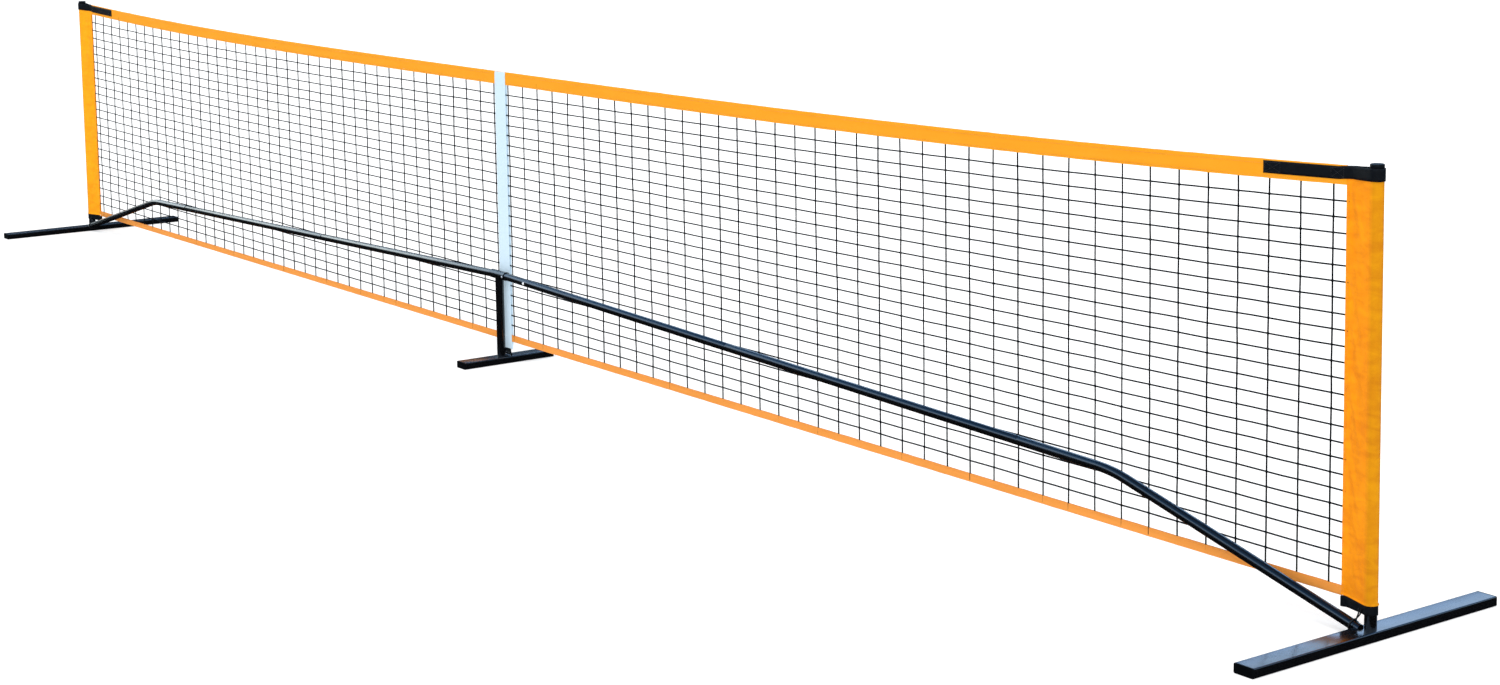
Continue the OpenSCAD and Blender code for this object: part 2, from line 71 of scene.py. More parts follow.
camera = put(bpy.data.objects.new("camera", bpy.data.cameras.new("camera")))
camera.data.sensor_width = 36
camera.data.lens = 60.133
camera.data.shift_x = -0.05978
camera.data.shift_y = -0.138
camera.data.clip_end = 200
camera.matrix_world = (
    Matrix.Translation((6.4466, -3.6324, 1.5469))
    @ Matrix.Rotation(radians(52.822), 4, "Z")
    @ Matrix.Rotation(radians(90 - 6.836), 4, "X")
    @ Matrix.Rotation(radians(-0.614), 4, "Z")
)
scene.camera = camera


def wire(tree, kind, inputs=None, **settings):
    """Adds a node: inputs maps socket names or numbers to values or to other sockets."""
    made = tree.nodes.new(kind)
    for key, value in settings.items():
        setattr(made, key, value)
    for key, value in (inputs or {}).items():
        if isinstance(value, bpy.types.NodeSocket):
            tree.links.new(value, made.inputs[key])
        else:
            made.inputs[key].default_value = value
    return made


def calc(tree, operation, *values):
    """A math node's result."""
    return wire(tree, "ShaderNodeMath", dict(enumerate(values)), operation=operation).outputs[0]


def new_material(name, colour, roughness, **sockets):
    """A node material with one Principled shader, whose even values sit on its own sockets."""
    made = bpy.data.materials.new(name)
    made.use_nodes = True
    shader = made.node_tree.nodes["Principled BSDF"]
    shader.inputs["Base Color"].default_value = (*colour, 1)
    shader.inputs["Roughness"].default_value = roughness
    for key, value in sockets.items():
        shader.inputs[key.replace("_", " ")].default_value = value
    return made, made.node_tree, shader


def ramp(tree, value, start, end, low=0.0, high=1.0):
    """A value that is low at one reading of another value, and high at a second reading."""
    return wire(tree, "ShaderNodeMapRange", {0: value, 1: start, 2: end, 3: low, 4: high}).outputs[0]


def mixed(tree, share, first, second, **settings):
    """A colour between two others, by a share of the second."""
    made = wire(tree, "ShaderNodeMix", {0: share, 6: first, 7: second}, data_type="RGBA", **settings)
    return made.outputs[2]


def bump(tree, shader, height, strength, distance):
    """Gives a shader's surface a fine relief."""
    relief = wire(tree, "ShaderNodeBump", {"Strength": strength, "Distance": distance, "Height": height})
    tree.links.new(relief.outputs[0], shader.inputs["Normal"])


sky = bpy.data.worlds.new("sky")
scene.world = sky
sky.use_nodes = True
tree = sky.node_tree
even_light = tree.nodes["Background"]
even_light.inputs["Color"].default_value = (0.90, 0.95, 1.0, 1)
even_light.inputs["Strength"].default_value = 0.86
way = wire(tree, "ShaderNodeSeparateXYZ", {0: wire(tree, "ShaderNodeTexCoord").outputs["Generated"]})
dome = wire(tree, "ShaderNodeValToRGB", {"Fac": way.outputs[2]})
stops = dome.color_ramp.elements
stops[0].position, stops[0].color = 0.0, (0.02, 0.025, 0.03, 1)
stops[1].position, stops[1].color = 1.0, (0.02, 0.035, 0.07, 1)
for position, colour in (
    (0.15, (0.008, 0.012, 0.018, 1)),
    (0.24, (0.015, 0.02, 0.04, 1)),
    (0.275, (0.34, 0.57, 0.94, 1)),
    (0.35, (0.33, 0.42, 0.56, 1)),
    (0.46, (0.40, 0.58, 0.74, 1)),
    (0.57, (0.06, 0.18, 0.40, 1)),
    (0.75, (0.02, 0.08, 0.19, 1)),
):
    stop = stops.new(position)
    stop.color = colour

# Two studio cards for the gloss: a dark flag behind the far end, and a pale panel before it.
far_end = ramp(tree, way.outputs[0], -0.79, -0.84)
behind = ramp(tree, way.outputs[1], 0.26, 0.32, high=0.95)
flag = mixed(tree, calc(tree, "MULTIPLY", far_end, behind), dome.outputs[0], (0.008, 0.012, 0.018, 1))
end_on = ramp(tree, way.outputs[0], -0.855, -0.925)
in_front = ramp(tree, way.outputs[1], 0.30, 0.12)
raised = ramp(tree, way.outputs[2], 0.10, 0.20)
lit = calc(tree, "MULTIPLY", calc(tree, "MULTIPLY", end_on, in_front), raised)
panel = mixed(tree, lit, flag, (0.80, 0.92, 0.95, 1))
gloss_light = wire(tree, "ShaderNodeBackground", {"Color": panel, "Strength": 4.1})
rays = wire(tree, "ShaderNodeLightPath")
light = wire(tree, "ShaderNodeMixShader", {
    0: rays.outputs["Is Glossy Ray"], 1: even_light.outputs[0], 2: gloss_light.outputs[0]})
tree.links.new(light.outputs[0], tree.nodes["World Output"].inputs["Surface"])

lamp = bpy.data.lights.new("key", "SUN")
lamp.energy = 1.5
lamp.angle = radians(50)
lamp.color = (1.0, 0.985, 0.96)
key = put(bpy.data.objects.new("key", lamp))
key.rotation_euler = (radians(40), radians(6), radians(38))

floor_mesh = bpy.data.meshes.new("floor")
floor_build = bmesh.new()
bmesh.ops.create_circle(floor_build, cap_ends=True, segments=96, radius=60)
floor_build.to_mesh(floor_mesh)
floor_build.free()
floor = put(bpy.data.objects.new("floor", floor_mesh))
floor.location.z = -0.0005
floor_mat, tree, shader = new_material("floor", (0.93, 0.92, 0.91), 0.9, Emission_Color=(1, 1, 1, 1),
                                       Emission_Strength=0.28, Specular_IOR_Level=0.0)
fine = wire(tree, "ShaderNodeTexNoise", {"Scale": 60.0, "Detail": 3.0})
bump(tree, shader, fine.outputs["Fac"], 0.05, 0.0005)
dull = wire(tree, "ShaderNodeBsdfDiffuse", {"Color": (0.012, 0.012, 0.014, 1)})
rays = wire(tree, "ShaderNodeLightPath")
seen = wire(tree, "ShaderNodeMixShader", {
    0: rays.outputs["Is Glossy Ray"], 1: shader.outputs[0], 2: dull.outputs[0]})
tree.links.new(seen.outputs[0], tree.nodes["Material Output"].inputs["Surface"])
floor_mesh.materials.append(floor_mat)
floor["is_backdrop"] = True

# ---------------------------------------------------------------------------------------
# The tube frame: feet, posts, tee, rails and corner pieces. Round and flat steel tube,
# powder coated in black after welding, with the fine orange peel that the powder leaves.
# ---------------------------------------------------------------------------------------
TUBES = ["end_foot_left", "end_foot_right", "center_foot", "post_left", "post_right", "center_tee",
         "rail_inner_left", "rail_inner_right", "rail_outer_left", "rail_outer_right",
         "corner_tube_left", "corner_tube_right"]

MERGE = 0.00001         # points nearer than this are one point

round_off = bpy.data.node_groups.new("round_off", "GeometryNodeTree")
round_off.interface.new_socket("Geometry", in_out="INPUT", socket_type="NodeSocketGeometry")
sharp_from = round_off.interface.new_socket("Sharp from", in_out="INPUT", socket_type="NodeSocketFloat")
sharp_from.default_value = radians(28)
round_off.interface.new_socket("Geometry", in_out="OUTPUT", socket_type="NodeSocketGeometry")
group_in = wire(round_off, "NodeGroupInput")
joined = wire(round_off, "GeometryNodeMergeByDistance", {"Geometry": group_in.outputs[0], "Distance": MERGE})
faces = wire(round_off, "GeometryNodeSetShadeSmooth", {"Geometry": joined.outputs[0], "Shade Smooth": True})
angle = wire(round_off, "GeometryNodeInputMeshEdgeAngle")
steep = wire(round_off, "FunctionNodeCompare", {0: angle.outputs[0], 1: group_in.outputs[1]},
             operation="GREATER_THAN")
edges = wire(round_off, "GeometryNodeSetShadeSmooth",
             {"Geometry": faces.outputs[0], "Selection": steep.outputs[0], "Shade Smooth": False},
             domain="EDGE")
wire(round_off, "NodeGroupOutput", {0: edges.outputs[0]})


def dress(name, material):
    """Gives a CAD node its material, and smooths the light over its round faces."""
    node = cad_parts[name]
    node.data.materials.clear()
    node.data.materials.append(material)
    node.modifiers.new("round_off", "NODES").node_group = round_off
    return node


def toned(tree, factor, first, last, start=0.0, end=1.0):
    """A colour that runs from the first to the last with a factor."""
    tone = wire(tree, "ShaderNodeValToRGB", {"Fac": factor})
    for stop, position, colour in zip(tone.color_ramp.elements, (start, end), (first, last)):
        stop.position = position
        stop.color = (*colour, 1)
    return tone.outputs[0]


powder, tree, shader = new_material("black_powder_coat", (0.0015, 0.0018, 0.0024), 0.3,
                                    Coat_Weight=0.3, Coat_Roughness=0.13, Specular_IOR_Level=0.45)
place = wire(tree, "ShaderNodeTexCoord").outputs["Object"]
peel = wire(tree, "ShaderNodeTexNoise", {"Vector": place, "Scale": 520.0, "Detail": 2.0})
cloud = wire(tree, "ShaderNodeTexNoise", {"Vector": place, "Scale": 14.0, "Detail": 5.0})
coat = toned(tree, cloud.outputs["Fac"], (0.0010, 0.0012, 0.0017), (0.0024, 0.0028, 0.0038))
tree.links.new(coat, shader.inputs["Base Color"])
tree.links.new(ramp(tree, cloud.outputs["Fac"], 0.3, 0.7, 0.19, 0.26), shader.inputs["Roughness"])
bump(tree, shader, peel.outputs["Fac"], 0.07, 0.0002)
for name in TUBES:
    dress(name, powder)

# ---------------------------------------------------------------------------------------
# Plugs and caps: injection moulded black plastic, pressed into the ends of the tubes.
# The mould's fine spark-eroded grain leaves them duller than the coated steel.
# ---------------------------------------------------------------------------------------
plastic, tree, shader = new_material("black_moulded_plastic", (0.0010, 0.0012, 0.0015), 0.5,
                                     Specular_IOR_Level=0.12)
place = wire(tree, "ShaderNodeTexCoord").outputs["Object"]
grain = wire(tree, "ShaderNodeTexVoronoi", {"Vector": place, "Scale": 1500.0})
cloud = wire(tree, "ShaderNodeTexNoise", {"Vector": place, "Scale": 60.0, "Detail": 4.0})
tree.links.new(ramp(tree, cloud.outputs["Fac"], 0.3, 0.7, 0.42, 0.58), shader.inputs["Roughness"])
bump(tree, shader, grain.outputs["Distance"], 0.2, 0.0001)
for name in ["foot_plugs_left", "foot_plugs_right", "foot_plugs_center", "post_cap_left", "post_cap_right"]:
    dress(name, plastic)

# ---------------------------------------------------------------------------------------
# Snap clips and rivets. The clips are spring steel strip with a domed button, nickel
# plated; each slides on its own body. The rivets are plain zinc plated steel.
# ---------------------------------------------------------------------------------------
# The clips' plating is near white and mostly matt: a painted glint, standing in for the bright reflection off
# the domed buttons.
plated, tree, shader = new_material("plated_spring_steel_painted_glint", (0.95, 0.95, 0.94), 0.2, Metallic=0.2)
place = wire(tree, "ShaderNodeTexCoord").outputs["Object"]
rub = wire(tree, "ShaderNodeTexNoise", {"Vector": place, "Scale": 900.0, "Detail": 4.0})
tree.links.new(ramp(tree, rub.outputs["Fac"], 0.3, 0.7, 0.14, 0.3), shader.inputs["Roughness"])

zinc, tree, shader = new_material("zinc_plated_steel", (0.62, 0.63, 0.64), 0.35, Metallic=0.55)
place = wire(tree, "ShaderNodeTexCoord").outputs["Object"]
spangle = wire(tree, "ShaderNodeTexVoronoi", {"Vector": place, "Scale": 1100.0})
plating = toned(tree, spangle.outputs["Distance"], (0.48, 0.49, 0.51), (0.68, 0.69, 0.70))
tree.links.new(plating, shader.inputs["Base Color"])

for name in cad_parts:
    if name.startswith("snap_"):
        dress(name, plated)
dress("tee_rivets", zinc)

# ---------------------------------------------------------------------------------------
# The net: knotted netting of twisted polyethylene twine, 78 cords up and 24 along. Its
# ends run into the tapes and hems that it is sewn to, and it hangs between them by tension.
# ---------------------------------------------------------------------------------------
HALF = 3.332            # from mid span to a post's axis
BACK = 0.008            # the net's plane, behind the posts' axes
NET_TOP = 0.914         # upper edge of the top tape at the posts
SAG = 0.046             # how far the middle of the top tape hangs below that
TAPE_H = 0.038
NET_LOW = 0.084         # upper edge of the bottom tape
COLUMNS, ROWS = 78, 25  # upright cords, and meshes from tape to tape
PITCH = 0.08358         # from one upright cord to the next
TWINE_R = 0.0018


def top_z(x):
    """Height of the top tape's upper edge."""
    return NET_TOP - SAG * (1 - np.abs(np.asarray(x, float) / HALF) ** 3)


def new_group(name, **sizes):
    """A Geometry Nodes tree with a geometry input, and one named input for each size."""
    made = bpy.data.node_groups.new(name, "GeometryNodeTree")
    made.interface.new_socket("Geometry", in_out="INPUT", socket_type="NodeSocketGeometry")
    for label, value in sizes.items():
        kind = {int: "NodeSocketInt", float: "NodeSocketFloat"}.get(type(value), "NodeSocketMaterial")
        made.interface.new_socket(label, in_out="INPUT", socket_type=kind)
    made.interface.new_socket("Geometry", in_out="OUTPUT", socket_type="NodeSocketGeometry")
    source = wire(made, "NodeGroupInput")
    return made, {s.name: s for s in source.outputs}


def grown(name, group, base=None, **sizes):
    """Runs a tree on a base mesh, and returns what it makes as a plain mesh object."""
    holder = put(bpy.data.objects.new(name + "_base", base or bpy.data.meshes.new(name + "_base")))
    modifier = holder.modifiers.new("grow", "NODES")
    modifier.node_group = group
    for item in group.interface.items_tree:
        if item.in_out == "INPUT" and item.name in sizes:
            modifier[item.identifier] = sizes[item.name]
    bpy.context.view_layer.update()
    made = bpy.data.meshes.new_from_object(holder.evaluated_get(bpy.context.evaluated_depsgraph_get()))
    made.name = name
    bpy.data.objects.remove(holder)
    return put(bpy.data.objects.new(name, made))


def hung(tree, sizes, geometry):
    """Moves a flat lattice, drawn with its height from 0 to 1, to where the net hangs."""
    at = wire(tree, "ShaderNodeSeparateXYZ", {0: wire(tree, "GeometryNodeInputPosition").outputs[0]})
    from_middle = calc(tree, "ABSOLUTE", calc(tree, "DIVIDE", at.outputs[0], sizes["Half"]))
    slack = calc(tree, "SUBTRACT", 1.0, calc(tree, "POWER", from_middle, 3.0))
    top = calc(tree, "SUBTRACT", sizes["Top"], calc(tree, "MULTIPLY", sizes["Sag"], slack))
    high = calc(tree, "MULTIPLY_ADD", at.outputs[2], calc(tree, "SUBTRACT", top, sizes["Low"]), sizes["Low"])
    here = wire(tree, "ShaderNodeCombineXYZ", {0: at.outputs[0], 1: sizes["Back"], 2: high})
    wander = wire(tree, "ShaderNodeTexNoise", {"Vector": here.outputs[0], "Scale": 9.0, "Detail": 3.0})
    centred = wire(tree, "ShaderNodeVectorMath", {0: wander.outputs["Color"], 1: (0.5, 0.5, 0.5)},
                   operation="SUBTRACT")
    loose = wire(tree, "ShaderNodeVectorMath", {0: centred.outputs[0], "Scale": sizes["Wander"]},
                 operation="SCALE")
    return wire(tree, "GeometryNodeSetPosition", {
        "Geometry": geometry, "Position": here.outputs[0], "Offset": loose.outputs[0]}).outputs[0]


twine, tree, shader = new_material("black_twine", (0.002, 0.002, 0.0025), 0.75, Specular_IOR_Level=0.15)
place = wire(tree, "ShaderNodeTexCoord").outputs["Object"]
strand = wire(tree, "ShaderNodeTexWave", {"Vector": place, "Scale": 260.0, "Distortion": 1.5, "Detail": 1.0},
              wave_type="BANDS", bands_direction="DIAGONAL")
lay = toned(tree, strand.outputs["Fac"], (0.0012, 0.0012, 0.0015), (0.003, 0.003, 0.0035))
tree.links.new(lay, shader.inputs["Base Color"])
bump(tree, shader, strand.outputs["Fac"], 0.5, 0.0003)

NET_SIZES = dict(Columns=COLUMNS, Rows=ROWS, Pitch=PITCH, Half=HALF, Back=BACK, Low=NET_LOW,
                 Top=NET_TOP - TAPE_H, Sag=SAG, Wander=0.0032, Radius=TWINE_R, Twine=twine)

cords, sizes = new_group("net_cords", **NET_SIZES)
step_up = calc(cords, "DIVIDE", 0.5, sizes["Rows"])
upright = wire(cords, "GeometryNodeCurvePrimitiveLine", {
    "Start": wire(cords, "ShaderNodeCombineXYZ", {2: calc(cords, "MULTIPLY", step_up, -1.0)}).outputs[0],
    "End": wire(cords, "ShaderNodeCombineXYZ", {2: calc(cords, "ADD", step_up, 1.0)}).outputs[0]})
upright = wire(cords, "GeometryNodeResampleCurve", {
    "Curve": upright.outputs[0], "Count": calc(cords, "MULTIPLY_ADD", sizes["Rows"], 2.0, 3.0)})
reach = calc(cords, "MULTIPLY", calc(cords, "MULTIPLY", sizes["Columns"], sizes["Pitch"]), 0.5)
first = calc(cords, "SUBTRACT", calc(cords, "MULTIPLY", sizes["Pitch"], 0.5), reach)
columns = wire(cords, "GeometryNodeMeshLine", {
    "Count": sizes["Columns"],
    "Start Location": wire(cords, "ShaderNodeCombineXYZ", {0: first}).outputs[0],
    "Offset": wire(cords, "ShaderNodeCombineXYZ", {0: sizes["Pitch"]}).outputs[0]})
level = wire(cords, "GeometryNodeCurvePrimitiveLine", {
    "Start": wire(cords, "ShaderNodeCombineXYZ", {0: calc(cords, "MULTIPLY", reach, -1.0)}).outputs[0],
    "End": wire(cords, "ShaderNodeCombineXYZ", {0: reach}).outputs[0]})
level = wire(cords, "GeometryNodeResampleCurve", {
    "Curve": level.outputs[0], "Count": calc(cords, "MULTIPLY_ADD", sizes["Columns"], 2.0, 1.0)})
row_step = calc(cords, "DIVIDE", 1.0, sizes["Rows"])
rows = wire(cords, "GeometryNodeMeshLine", {
    "Count": calc(cords, "SUBTRACT", sizes["Rows"], 1.0),
    "Start Location": wire(cords, "ShaderNodeCombineXYZ", {2: row_step}).outputs[0],
    "Offset": wire(cords, "ShaderNodeCombineXYZ", {2: row_step}).outputs[0]})
lattice = wire(cords, "GeometryNodeJoinGeometry")
for points, line in ((columns, upright), (rows, level)):
    copies = wire(cords, "GeometryNodeInstanceOnPoints", {
        "Points": points.outputs[0], "Instance": line.outputs[0]})
    lines = wire(cords, "GeometryNodeRealizeInstances", {0: copies.outputs[0]})
    cords.links.new(lines.outputs[0], lattice.inputs[0])
twine_round = wire(cords, "GeometryNodeCurvePrimitiveCircle", {"Resolution": 6, "Radius": sizes["Radius"]})
tubes = wire(cords, "GeometryNodeCurveToMesh", {
    "Curve": hung(cords, sizes, lattice.outputs[0]),
    "Profile Curve": twine_round.outputs[0],
    "Fill Caps": True})
smooth = wire(cords, "GeometryNodeSetShadeSmooth", {"Geometry": tubes.outputs[0], "Shade Smooth": True})
wire(cords, "NodeGroupOutput", {0: wire(cords, "GeometryNodeSetMaterial", {
    "Geometry": wire(cords, "GeometryNodeRealizeInstances", {0: smooth.outputs[0]}).outputs[0],
    "Material": sizes["Twine"]}).outputs[0]})

knots, sizes = new_group("net_knots", **NET_SIZES)
lattice = wire(knots, "GeometryNodeMeshGrid", {
    "Size X": calc(knots, "MULTIPLY", calc(knots, "SUBTRACT", sizes["Columns"], 1.0), sizes["Pitch"]),
    "Size Y": calc(knots, "SUBTRACT", 1.0, calc(knots, "DIVIDE", 2.0, sizes["Rows"])),
    "Vertices X": sizes["Columns"], "Vertices Y": calc(knots, "SUBTRACT", sizes["Rows"], 1.0)})
stood = wire(knots, "GeometryNodeTransform", {
    "Geometry": lattice.outputs[0], "Translation": (0, 0, 0.5), "Rotation": (radians(90), 0, 0)})
knot = wire(knots, "GeometryNodeMeshUVSphere", {"Segments": 6, "Rings": 4, "Radius": sizes["Radius"]})
turn = wire(knots, "FunctionNodeRandomValue", {0: (0, 0, 0), 1: (0.5, 0.9, 0.5), "Seed": 7},
            data_type="FLOAT_VECTOR")
size = wire(knots, "FunctionNodeRandomValue", {0: (1.5, 1.35, 1.6), 1: (1.9, 1.6, 2.0), "Seed": 8},
            data_type="FLOAT_VECTOR")
copies = wire(knots, "GeometryNodeInstanceOnPoints", {
    "Points": hung(knots, sizes, stood.outputs[0]), "Instance": knot.outputs[0],
    "Rotation": turn.outputs[0], "Scale": size.outputs[0]})
smooth = wire(knots, "GeometryNodeSetShadeSmooth", {
    "Geometry": wire(knots, "GeometryNodeRealizeInstances", {0: copies.outputs[0]}).outputs[0],
    "Shade Smooth": True})
wire(knots, "NodeGroupOutput", {0: wire(knots, "GeometryNodeSetMaterial", {
    "Geometry": smooth.outputs[0], "Material": sizes["Twine"]}).outputs[0]})

net_cords = grown("net_cords", cords, **NET_SIZES)
net_knots = grown("net_knots", knots, **NET_SIZES)
for piece in (net_cords, net_knots):
    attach(piece, "frame")
    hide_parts("net_mesh")

# ---------------------------------------------------------------------------------------
# The top tape: a strip of coated orange polyester cloth, folded over the head cord that
# carries the net's weight and sewn through the netting with two rows of stitches.
# ---------------------------------------------------------------------------------------
HEM_X = 3.252           # where the tapes meet the side sleeves
RIM = 0.0006            # width of the thin cut border of a cloth


def sheet_mesh(name, middle, thick, material):
    """A cloth from a grid of points on its middle surface and its thickness at each."""
    n, m = middle.shape[:2]
    along, across = np.gradient(middle, axis=0), np.gradient(middle, axis=1)
    normal = np.cross(along, across)
    normal /= np.linalg.norm(normal, axis=2)[..., None]
    lift = normal * np.asarray(thick)[..., None] / 2
    points = np.concatenate([(middle + lift).reshape(-1, 3), (middle - lift).reshape(-1, 3)])
    u = np.concatenate([[0], np.cumsum(np.linalg.norm(np.diff(middle, axis=0), axis=2).mean(axis=1))])
    v = np.concatenate([[0], np.cumsum(np.linalg.norm(np.diff(middle, axis=1), axis=2).mean(axis=0))])
    spot = [(u[i], v[j]) for i in range(n) for j in range(m)] * 2
    half = n * m
    quads = []
    for i in range(n - 1):
        for j in range(m - 1):
            a, b, c, d = i * m + j, i * m + j + 1, (i + 1) * m + j + 1, (i + 1) * m + j
            quads += [(a, b, c, d), (a + half, d + half, c + half, b + half)]
    border = ([j for j in range(m)] + [i * m + m - 1 for i in range(1, n)]
              + [(n - 1) * m + j for j in range(m - 2, -1, -1)] + [i * m for i in range(n - 2, 0, -1)])
    for a, b in zip(border, border[1:] + border[:1]):
        quads.append((a, a + half, b + half, b))
    made = bpy.data.meshes.new(name)
    made.from_pydata([tuple(p) for p in points], [], quads)
    layer = made.uv_layers.new(name="UVMap")
    for loop in made.loops:
        layer.data[loop.index].uv = spot[loop.vertex_index]
    build = bmesh.new()
    build.from_mesh(made)
    bmesh.ops.recalc_face_normals(build, faces=build.faces)
    build.to_mesh(made)
    build.free()
    made.polygons.foreach_set("use_smooth", [True] * len(made.polygons))
    made.set_sharp_from_angle(angle=radians(40))
    made.materials.append(material)
    return put(bpy.data.objects.new(name, made))


def with_edges(values):
    """Adds a station just inside each end, so that a cloth's border can be thinned there."""
    rim = np.sign(values[-1] - values[0]) * RIM
    return np.concatenate([[values[0], values[0] + rim], values[1:-1], [values[-1] - rim, values[-1]]])


def border_thin(n, m):
    """Share of its thickness that a cloth has at each point: less along its cut border."""
    least = 0.45
    share = np.ones((n, m))
    share[0, :] = share[-1, :] = least
    share[:, 0] = share[:, -1] = least
    return share


def ripple(points, scale, depth, seed):
    """Soft noise of a set depth at each point."""
    flat = np.asarray(points, float).reshape(-1, 3) * scale + seed
    return depth * np.array([noise.noise(Vector(p)) for p in flat]).reshape(np.asarray(points).shape[:-1])


def cloth_material(name, low, high, crease_shade_stretch=(5, 90, 1), post_shade_band=None):
    """Plain woven cloth, its threads following the cloth's own metre-scaled map, its tone a random mottle
    with streaks of painted crease shade.
    Where a band on the post is given, at a middle and half width across the map, the cloth is darkened there
    with painted shade, as no light comes through it."""
    made, tree, shader = new_material(name, high, 0.62, Specular_IOR_Level=0.1)
    coordinates = wire(tree, "ShaderNodeTexCoord")
    threads = []
    for turn in ((0, 0, 0), (0, 0, radians(90))):
        lay = wire(tree, "ShaderNodeMapping", {"Vector": coordinates.outputs["UV"], "Rotation": turn})
        thread = wire(tree, "ShaderNodeTexWave",
                      {"Vector": lay.outputs[0], "Scale": 1500.0, "Distortion": 0.0},
                      wave_type="BANDS", bands_direction="X")
        threads.append(thread.outputs["Fac"])
    weft = calc(tree, "MULTIPLY", *threads)
    cloud = wire(tree, "ShaderNodeTexNoise", {
        "Vector": coordinates.outputs["Object"], "Scale": 7.0, "Detail": 6.0})
    lay = wire(tree, "ShaderNodeMapping", {"Vector": coordinates.outputs["UV"], "Scale": crease_shade_stretch})
    # Streaks stretched across the map: painted shade of soft creases, mixed with a random mottle.
    crease_shade_streak = wire(tree, "ShaderNodeTexNoise", {
        "Vector": lay.outputs[0], "Scale": 1.0, "Detail": 3.0, "Distortion": 0.6})
    mottle_and_crease_shade = calc(tree, "ADD", calc(tree, "MULTIPLY", cloud.outputs["Fac"], 0.35),
                calc(tree, "MULTIPLY", crease_shade_streak.outputs["Fac"], 0.65))
    dye_and_painted_shade = toned(tree, calc(tree, "MULTIPLY_ADD", weft, 0.25, mottle_and_crease_shade), low, high, 0.3, 0.75)
    if post_shade_band:
        middle, half_width = post_shade_band
        soft_edge = 0.006
        across = wire(tree, "ShaderNodeSeparateXYZ", {0: coordinates.outputs["UV"]}).outputs[1]
        away = calc(tree, "ABSOLUTE", calc(tree, "SUBTRACT", across, middle))
        # Painted shade: the band that lies on the black post is darkened, as no light shines through the
        # cloth there.
        on_post_shade = ramp(tree, away, half_width + soft_edge, half_width - soft_edge)
        dye_and_painted_shade = mixed(tree, on_post_shade, dye_and_painted_shade, (0.70, 0.86, 0.55, 1), blend_type="MULTIPLY")
    tree.links.new(dye_and_painted_shade, shader.inputs["Base Color"])
    bump(tree, shader, weft, 0.35, 0.00012)
    return made


tape_cloth = cloth_material("orange_tape_cloth", (0.79, 0.298, 0.007), (0.89, 0.338, 0.012))


def folded_tape(name, edge, up, height, half_thick, cloth, step, seed, material):
    """A strip folded over the net's edge: one face, the fold and the other face. Up is 1 or -1."""
    pitch = 2 * HEM_X / round(2 * HEM_X / step)
    xs = with_edges(np.arange(-HEM_X, HEM_X + MERGE / 10, pitch))
    inner = half_thick - cloth / 2
    fold_end, first, last = 0.0045, 0.007, height - 0.004
    drop = [height, height - RIM, *np.linspace(last, first, 5), fold_end]
    front = [(-inner, d) for d in drop]
    fold = [(-inner * cos(a), inner * (1 - sin(a)) + cloth / 2) for a in np.linspace(0.2, pi - 0.2, 7)]
    line = np.array(front + fold + [(-y, d) for y, d in front[::-1]])
    grid = np.zeros((len(xs), len(line), 3))
    for i, x in enumerate(xs):
        grid[i, :, 0] = x
        grid[i, :, 1] = BACK + line[:, 0]
        grid[i, :, 2] = edge(x) - up * line[:, 1]
    low = np.clip(line[:, 1] / height, 0, 1)
    grid[:, :, 1] += ripple(grid * (1, 0, 1), 11, 0.0007, seed) * low
    grid[:, :, 2] += ripple(grid * (1, 0, 0), 23, 0.0006, seed + 9)
    return sheet_mesh(name, grid, cloth * border_thin(*grid.shape[:2]), material)


top_tape = folded_tape("top_binding", top_z, 1, TAPE_H, half_thick=0.0021, cloth=0.0006, step=0.022,
                       seed=3.0, material=tape_cloth)
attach(top_tape, "frame")
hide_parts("top_tape")

stitching, sizes = new_group("stitching", Pitch=0.005, Length=0.0021, Thread=0.00045, Yarn=twine)
seam = wire(stitching, "GeometryNodeMeshToCurve", {0: sizes["Geometry"]})
marks = wire(stitching, "GeometryNodeCurveToPoints", {"Curve": seam.outputs[0], "Length": sizes["Pitch"]},
             mode="LENGTH")
stitch = wire(stitching, "GeometryNodeMeshIcoSphere", {"Radius": 1.0, "Subdivisions": 1})
lay = wire(stitching, "FunctionNodeAlignRotationToVector", {"Vector": marks.outputs["Tangent"]}, axis="X")
copies = wire(stitching, "GeometryNodeInstanceOnPoints", {
    "Points": marks.outputs["Points"], "Instance": stitch.outputs[0], "Rotation": lay.outputs[0],
    "Scale": wire(stitching, "ShaderNodeCombineXYZ",
                  {0: sizes["Length"], 1: sizes["Thread"], 2: sizes["Thread"]}).outputs[0]})
smooth = wire(stitching, "GeometryNodeSetShadeSmooth", {
    "Geometry": wire(stitching, "GeometryNodeRealizeInstances", {0: copies.outputs[0]}).outputs[0],
    "Shade Smooth": True})
wire(stitching, "NodeGroupOutput", {0: wire(stitching, "GeometryNodeSetMaterial", {
    "Geometry": smooth.outputs[0], "Material": sizes["Yarn"]}).outputs[0]})


def thread_material(name, colour):
    """Twisted polyester sewing thread."""
    made, tree, shader = new_material(name, colour, 0.5, Sheen_Weight=0.2)
    place = wire(tree, "ShaderNodeTexCoord").outputs["Object"]
    twist = wire(tree, "ShaderNodeTexWave", {"Vector": place, "Scale": 900.0, "Distortion": 2.0},
                 wave_type="BANDS", bands_direction="DIAGONAL")
    shaded = [0.7 * c for c in colour]
    tree.links.new(toned(tree, twist.outputs["Fac"], shaded, colour), shader.inputs["Base Color"])
    return made


def sewn(name, seams, yarn, pitch=0.005, length=0.0021, thread=0.00045):
    """Stitches along lines of points, as one piece on the frame."""
    base = bpy.data.meshes.new(name + "_lines")
    points, edges = [], []
    for line in seams:
        edges += [(len(points) + k, len(points) + k + 1) for k in range(len(line) - 1)]
        points += [tuple(p) for p in line]
    base.from_pydata(points, edges, [])
    made = grown(name, stitching, base, Pitch=pitch, Length=length, Thread=thread, Yarn=yarn)
    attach(made, "frame")
    return made


